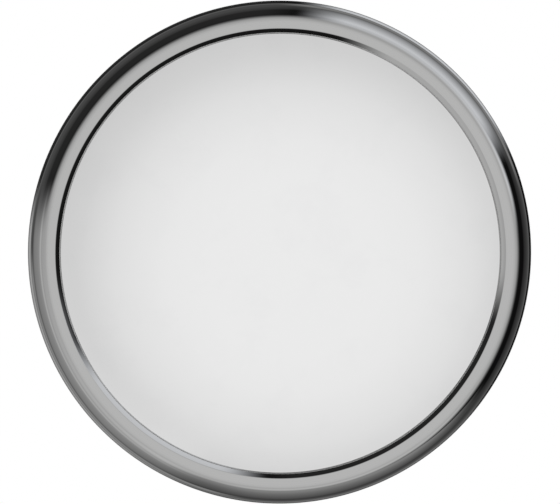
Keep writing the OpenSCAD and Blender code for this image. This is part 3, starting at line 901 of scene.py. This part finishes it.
stack = pan_t + spreader_t + nut_h + thread_out
under_head = yoke_t + washer_t
yoke_bolt = joined(hexagon(flats, under_head, under_head + head_h, False, True),
                   thread(bolt_d, bolt_pitch, -stack, under_head))
hole_r = bolt_d / 2 + bolt_gap
make_piece("yoke_bolts", yoke_bolt, at_bolts(on_head_yoke), zinc_plate)
yoke_washer = washer(bolt_d, hole_r, yoke_t, under_head)
make_piece("yoke_washers", yoke_washer, at_bolts(on_head_yoke), zinc_plate)
nut_low = -pan_t - spreader_t - nut_h
inner_nut = hexagon(flats, nut_low, nut_low + nut_h, True, True, bore=bolt_d / 2)
make_piece("yoke_nuts", inner_nut, at_bolts(on_head_yoke), zinc_plate)
wall_nut = hexagon(flats, yoke_t, yoke_t + nut_h, True, True, bore=bolt_d / 2)
make_piece("plate_nuts", wall_nut, at_bolts(on_wall_yoke), zinc_plate)

# %% [markdown]
# ## Screws with a cross recess
# The pan screws and the countersunk plate screws are driven with a cross-head driver. The recess is
# cut from a turned head with a Boolean modifier, and its result is copied to every screw.

# %% Cut the cross recess
def prism_sides(count):
    return [(i, (i + 1) % count, count + (i + 1) % count, count + i) for i in range(count)]


def cross_cutter(wide, depth, top):
    shapes = []
    for long, short in ((wide, 0.3 * wide), (0.3 * wide, wide)):
        tip_long, tip_short = 0.35 * long + 0.1, 0.35 * short + 0.1
        high = [(x * long / 2, y * short / 2, top + 0.2) for x, y in square]
        low = [(x * tip_long / 2, y * tip_short / 2, top - depth) for x, y in square]
        shapes.append((high + low, [(3, 2, 1, 0), (4, 5, 6, 7)] + prism_sides(4)))
    return shapes


def scratch_object(shape):
    mesh = bpy.data.meshes.new("scratch")
    shell = bmesh.new()
    corners = [shell.verts.new(v) for v in shape[0]]
    for face in shape[1]:
        shell.faces.new([corners[i] for i in face])
    bmesh.ops.remove_doubles(shell, verts=shell.verts, dist=1e-4)
    bmesh.ops.dissolve_degenerate(shell, edges=shell.edges, dist=1e-4)
    bmesh.ops.recalc_face_normals(shell, faces=shell.faces)
    shell.to_mesh(mesh)
    shell.free()
    scratch = bpy.data.objects.new("scratch", mesh)
    bpy.context.scene.collection.objects.link(scratch)
    return scratch


def shape_of(scratch):
    seen_now = scratch.evaluated_get(bpy.context.evaluated_depsgraph_get())
    mesh = seen_now.to_mesh()
    shape = [tuple(v.co) for v in mesh.vertices], [tuple(f.vertices) for f in mesh.polygons]
    seen_now.to_mesh_clear()
    return shape


def cut(shape, cutters):
    blank = scratch_object(shape)
    tools = [scratch_object(cutter) for cutter in cutters]
    for tool in tools:
        boolean = blank.modifiers.new("cut", "BOOLEAN")
        boolean.operation = "DIFFERENCE"
        boolean.solver = "EXACT"
        boolean.object = tool
    result = shape_of(blank)
    for scratch in (blank, *tools):
        bpy.data.objects.remove(scratch)
    return result


print("recess cutter ready")

# %% Drive the screws
screw_d = 4
screw_pitch = 0.7
screw_count = 6
screw_steps = 48
screw_r = (flange_out + 1 + pan_out) / 2
screw_top = 0.6 * screw_d
domed = [(0, 1), (0.45, 1), (0.7, 0.93), (0.84, 0.75), (0.95, 0.42), (1, 0.14), (0.98, 0), (0, 0)]
screw_head = [(screw_d * out, screw_top * rise) for out, rise in domed]
recess = cross_cutter(1.05 * screw_d, 0.75 * screw_top, screw_top)
rim_screw_head = cut(turn_section(screw_head, screw_steps), recess)
rim_screw = joined(rim_screw_head, thread(screw_d, screw_pitch, -(pan_t + clip_t + thread_out), 0))
screw_places = []
for i in range(screw_count):
    around = Matrix.Rotation(math.pi / 2 + 2 * math.pi * i / screw_count, 4, "Z")
    spot = on_head @ around @ Matrix.Translation((screw_r, 0, pan_h))
    screw_places.append(spot @ Matrix.Rotation(math.pi, 4, "X") @ Matrix.Rotation(0.4 * i, 4, "Z"))
make_piece("rim_screws", rim_screw, screw_places, zinc_plate)

sunk_edge = 0.15
sunk_head = [(0, 0), (bolt_d - sunk_edge, 0), (bolt_d, -sunk_edge), (bolt_d / 2, -bolt_d / 2),
             (0, -bolt_d / 2)]
sunk_recess = cross_cutter(0.95 * bolt_d, 0.42 * bolt_d, 0)
plate_screw_head = cut(turn_section(sunk_head, screw_steps), sunk_recess)
plate_stack = plate_t + yoke_t + nut_h + thread_out - bolt_gap
plate_screw = joined(plate_screw_head, thread(bolt_d, bolt_pitch, -plate_stack, -bolt_d / 2 + 0.1))
on_wall = axes((0, -bolt_gap * MM, 0), (0, 0, 1), (0, 1, 0))
make_piece("plate_screws", plate_screw, at_bolts(on_wall), zinc_plate)

# %% [markdown]
# ## The pivot bolts
# Each pivot is a carriage bolt: a low domed head, a square neck that stops it turning in its yoke,
# and a thread that takes the washer and the wing nut.

# %% Make the pivot bolts and washers
pivot_d = 8
pivot_pitch = 1.25
pivot_out = 26
arm_len = 100
ear_x = 26
pivot_washer_t = 1.6
end_play = 0.15
hub_h = 9
bolt_end = 4
bolt_reach = ear_x + pivot_washer_t + end_play + hub_h + bolt_end
cap_r = 1.1 * pivot_d
cap_h = 0.5 * pivot_d
cap_ball = (cap_r ** 2 + cap_h ** 2) / (2 * cap_h)
cap_half = math.asin(cap_r / cap_ball)
cap_rim = 0.25
cap_turns = [cap_half * i / 12 for i in range(12)]
cap_curve = [(cap_ball * math.sin(a), cap_ball - cap_h - cap_ball * math.cos(a)) for a in cap_turns]
cap_section = [(r, z - ear_x) for r, z in cap_curve] + [
    (cap_r - 0.1, -ear_x - cap_rim), (cap_r, -ear_x - 0.5 * cap_rim), (cap_r, -ear_x), (0, -ear_x)]
neck_h = 3.6
half_neck = pivot_d / 2
neck_corners = [(half_neck * x, half_neck * y, z - ear_x) for z in (0, neck_h) for x, y in square]
neck = neck_corners, [(3, 2, 1, 0), (4, 5, 6, 7)] + prism_sides(4)
plain_end = 14
shank_section = [(0, -ear_x), (half_neck, -ear_x), (half_neck, plain_end), (0, plain_end)]
pivot_bolt = joined(
    turn_section(cap_section, 72), neck, turn_section(shank_section, 48),
    thread(pivot_d, pivot_pitch, plain_end, bolt_reach, 48))
pan_y = -(plate_t + yoke_t + pivot_out) * MM
tilt_y = pan_y - arm_len * MM
on_tilt_pivot = axes((0, tilt_y, 0), (0, 0, -1), (1, 0, 0))
on_pan_pivot = axes((0, pan_y, 0), (1, 0, 0), (0, 0, 1))
pivot_washer = washer(pivot_d, pivot_d / 2 + bolt_gap, ear_x, ear_x + pivot_washer_t, 0.25)
for pivot, place in (("tilt", on_tilt_pivot), ("pan", on_pan_pivot)):
    make_piece(pivot + "_bolt", pivot_bolt, [place], zinc_plate)
    make_piece(pivot + "_washer", pivot_washer, [place], zinc_plate)

# %% [markdown]
# ## The wing nuts
# Wing nuts are die cast, so every edge is soft and the wings grow out of the hub with a fillet.
# Modelling each fillet by hand is slow. A Remesh modifier fuses a plain hub and two plain wings
# into one skin, and a Smooth modifier then softens all of it, much as the casting does.

# %% Cast a wing nut
wing_span = 40
wing_t = 0.45 * pivot_d
tip_r = 0.6 * pivot_d
tip = Vector((wing_span / 2 - tip_r, hub_h + 0.45 * pivot_d))
wing_root = 0.3 * pivot_d + 2
wing_foot = Vector((0.7 * pivot_d, 0.12 * pivot_d))
wing_crest = Vector((0.7 * pivot_d, 0.9 * hub_h))
hub_bore = 0.5 * pivot_d + 0.3
hub = [(hub_bore, 0), (1.05 * pivot_d, 0), (0.875 * pivot_d, hub_h), (hub_bore, hub_h)]


def touch(point, sign):
    gap = point - tip
    angle = math.atan2(gap.y, gap.x) + sign * math.acos(tip_r / gap.length)
    return math.degrees(angle)


def wing(side):
    start, end = touch(wing_foot, 1), touch(wing_crest, -1)
    around = [p for p, out in arc(tip, tip_r, start, (end - start) % 360, 10)]
    outline = [Vector((wing_root, wing_foot.y + 0.3)), wing_foot, *around, wing_crest,
               Vector((wing_root, wing_crest.y))]
    count = len(outline)
    verts = [(side * p.x, y, p.y) for y in (-wing_t / 2, wing_t / 2) for p in outline]
    ends = [tuple(range(count)), tuple(range(2 * count - 1, count - 1, -1))]
    return verts, ends + prism_sides(count)


blank = scratch_object(joined(turn_section(hub, 64, closed=True), wing(1), wing(-1)))
fuse = blank.modifiers.new("fuse", "REMESH")
fuse.mode = "VOXEL"
fuse.voxel_size = 0.35
soften = blank.modifiers.new("soften", "SMOOTH")
soften.factor = 0.5
soften.iterations = 8
wing_nut = shape_of(blank)
bpy.data.objects.remove(blank)
nut_seat = Matrix.Translation((0, 0, ear_x + pivot_washer_t + end_play))
for pivot, place, rest_turn in (("tilt", on_tilt_pivot, 35), ("pan", on_pan_pivot, 20)):
    spot = place @ nut_seat @ Matrix.Rotation(math.radians(rest_turn), 4, "Z")
    make_piece(pivot + "_wing_nut", wing_nut, [spot], cast_zinc, sharp=60)

# %% [markdown]
# ## The wall plate
# The plate is punched from flat bar, so its corners are round and its edges a little soft. It is
# built from loops of one rounded outline, each a little further in, and then drilled and
# countersunk with the same cutting helper as the screw heads.

# %% Punch and drill the wall plate
plate_w, plate_h = 80, 110
plate_corner_r = 10
plate_edge = 0.5
wall_hole_x, wall_hole_z = 28, 42
wall_hole_r = 3.25
drill_past = 1
wall_holes = [(x, z) for x in (-wall_hole_x, wall_hole_x) for z in (-wall_hole_z, wall_hole_z)]


def plate_loop(inset):
    corner = plate_corner_r - inset
    loop = []
    for quarter, (sx, sy) in enumerate(((1, 1), (-1, 1), (-1, -1), (1, -1))):
        centre = Vector((sx * (plate_w / 2 - plate_corner_r), sy * (plate_h / 2 - plate_corner_r)))
        loop += [point for point, out in arc(centre, corner, 90 * quarter, 90, 7.5)]
    return loop


def punched_plate():
    round_over = [math.radians(a) for a in (0, 30, 60, 90)]
    low = [(plate_edge * (1 - math.sin(a)), plate_edge * (1 - math.cos(a))) for a in round_over]
    levels = low + [(inset, plate_t - height) for inset, height in reversed(low)]
    verts, count = [], len(plate_loop(0))
    for inset, height in levels:
        verts += [(p.x, p.y, height) for p in plate_loop(inset)]
    faces = [tuple(range(count))[::-1], tuple(range((len(levels) - 1) * count, len(levels) * count))]
    for row in range(len(levels) - 1):
        for i in range(count):
            here, after = row * count + i, row * count + (i + 1) % count
            faces.append((here, after, after + count, here + count))
    return verts, faces


def drill(x, y, section):
    verts, faces = turn_section(section, 48)
    return [(px + x, py + y, pz) for px, py, pz in verts], faces


drill_low, drill_high = -drill_past, plate_t + drill_past
straight = [(0, drill_low), (wall_hole_r, drill_low), (wall_hole_r, drill_high), (0, drill_high)]
sunk = [(0, drill_low), (2 * hole_r + drill_past, drill_low), (hole_r, hole_r), (hole_r, drill_high),
        (0, drill_high)]
drills = [drill(x, z, straight) for x, z in wall_holes]
drills += [drill(z, x, sunk) for x, z in bolt_places]
on_wall_face = axes((0, 0, 0), (1, 0, 0), (0, -1, 0))
make_piece("wall_plate", cut(punched_plate(), drills), [on_wall_face], bracket_paint, sharp=20)

# %% [markdown]
# ## Pieces that keep their CAD shape
# The bent yokes, the arm, the bushes and the hidden pieces are right as they are. They only need
# soft edges, which catch the light as real sheared and powder-coated edges do, so a Bevel modifier
# rounds them.

# %% Finish the kept pieces
kept = {
    "head_yoke": (bracket_paint, 0.5),
    "wall_yoke": (bracket_paint, 0.5),
    "swing_arm": (bracket_paint, 0.35),
    "tilt_bushes": (natural_nylon, 0.2),
    "pan_bushes": (natural_nylon, 0.2),
    "spreader_plate": (bare_steel, 0.3),
    "rim_clips": (bare_steel, 0.2),
    "sight_edge_gasket": (black_rubber, 0.0),
    "foam_seat": (grey_foam, 0.0),
}
for node, (finish, edge_round) in kept.items():
    cad = nodes[node]
    cad.data.materials.clear()
    cad.data.materials.append(finish)
    if edge_round:
        weld = cad.modifiers.new("weld", "WELD")
        weld.merge_threshold = 2e-6
        soft_edge = cad.modifiers.new("soft_edge", "BEVEL")
        soft_edge.width = edge_round * MM
        soft_edge.segments = 3
        soft_edge.limit_method = "ANGLE"
        soft_edge.angle_limit = math.radians(40)
        soft_edge.harden_normals = True
print("finished", len(kept), "kept CAD nodes")

# %% [markdown]
# ## The weld beads on the arm
# The arm's tube is welded to a barrel at each end. Where two cylinders meet the seam is a saddle
# curve, which is known exactly: at each angle round the tube it lies on the barrel's surface. A
# bead of overlapping ripples is swept along that curve.

# %% Weld the arm
tube_r = 11
barrel_r = 13
bead_r = 1.7
ripples = 44
bead_steps = ripples * 6
bead_sides = 14


def seam_point(angle):
    side, rise = tube_r * math.cos(angle), tube_r * math.sin(angle)
    return Vector((side, rise, math.sqrt(barrel_r ** 2 - side ** 2)))


def weld_bead():
    verts = []
    for i in range(bead_steps):
        angle = 2 * math.pi * i / bead_steps
        along = (seam_point(angle + 0.01) - seam_point(angle - 0.01)).normalized()
        out = Vector((math.cos(angle), math.sin(angle), 0.6)).normalized()
        out = (out - along * out.dot(along)).normalized()
        third = along.cross(out)
        swell = 1 + 0.13 * abs(math.sin(ripples * angle / 2)) + 0.05 * math.sin(5 * angle + 1)
        for j in range(bead_sides):
            turn = 2 * math.pi * j / bead_sides
            around = out * math.cos(turn) * 0.8 + third * math.sin(turn)
            verts.append(tuple(seam_point(angle) + bead_r * swell * around))
    faces = []
    for i in range(bead_steps):
        for j in range(bead_sides):
            here, there = i * bead_sides, (i + 1) % bead_steps * bead_sides
            after = (j + 1) % bead_sides
            faces.append((here + j, here + after, there + after, there + j))
    return verts, faces


bead_shape = weld_bead()
seams = {
    "pan_weld": axes((0, pan_y, 0), (1, 0, 0), (0, -1, 0)),
    "tilt_weld": axes((0, tilt_y, 0), (0, 0, 1), (0, 1, 0)),
}
for name, place in seams.items():
    mesh = bpy.data.meshes.new(name)
    mesh.from_pydata([place @ Vector(v) for v in bead_shape[0]], [], bead_shape[1])
    mesh.shade_smooth()
    mesh.materials.append(bracket_paint)
    weld_piece = bpy.data.objects.new(name, mesh)
    bpy.context.scene.collection.objects.link(weld_piece)
    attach(weld_piece, body_of_node["swing_arm"])
    print(name, len(mesh.polygons), "faces")

# %% [markdown]
# ## Lamps for the other views
# Two soft lamps stand behind and light the back, and two stand at the sides, where the dome meets
# them when it is seen at a slant. The polished rim would show each of them as a line of glare that
# the photograph doesn't have, so light linking names the pieces that each lamp may light.

# %% Light the back and the slanting views
behind = bpy.data.collections.new("lit_from_behind")
for thing in bpy.context.scene.objects:
    if thing.type == "MESH" and thing not in (rim, dome, floor, card):
        behind.objects.link(thing)
mirror_only = bpy.data.collections.new("mirror_only")
mirror_only.objects.link(dome)
lamps = {
    # name: place in metres, width in metres, power in watts, what it lights
    "rear_key": ((1.3, 1.6, 1.5), 2.0, 75, behind),
    "rear_fill": ((-1.8, 1.2, 0.3), 2.0, 30, behind),
    "right_window": ((2.1, -0.85, -0.3), 2.0, 9, mirror_only),
    "upper_window": ((-1.1, -0.85, 1.8), 2.0, 9, mirror_only),
}
for name, (spot, width, power, receivers) in lamps.items():
    lamp_data = bpy.data.lights.new(name, "AREA")
    lamp_data.size = width
    lamp_data.energy = power
    lamp = bpy.data.objects.new(name, lamp_data)
    lamp.location = spot
    lamp.rotation_mode = "QUATERNION"
    lamp.rotation_quaternion = (Vector(spot) - Vector((0, pad_y, 0))).to_track_quat("Z", "Y")
    lamp.visible_camera = False
    lamp.light_linking.receiver_collection = receivers
    bpy.context.scene.collection.objects.link(lamp)
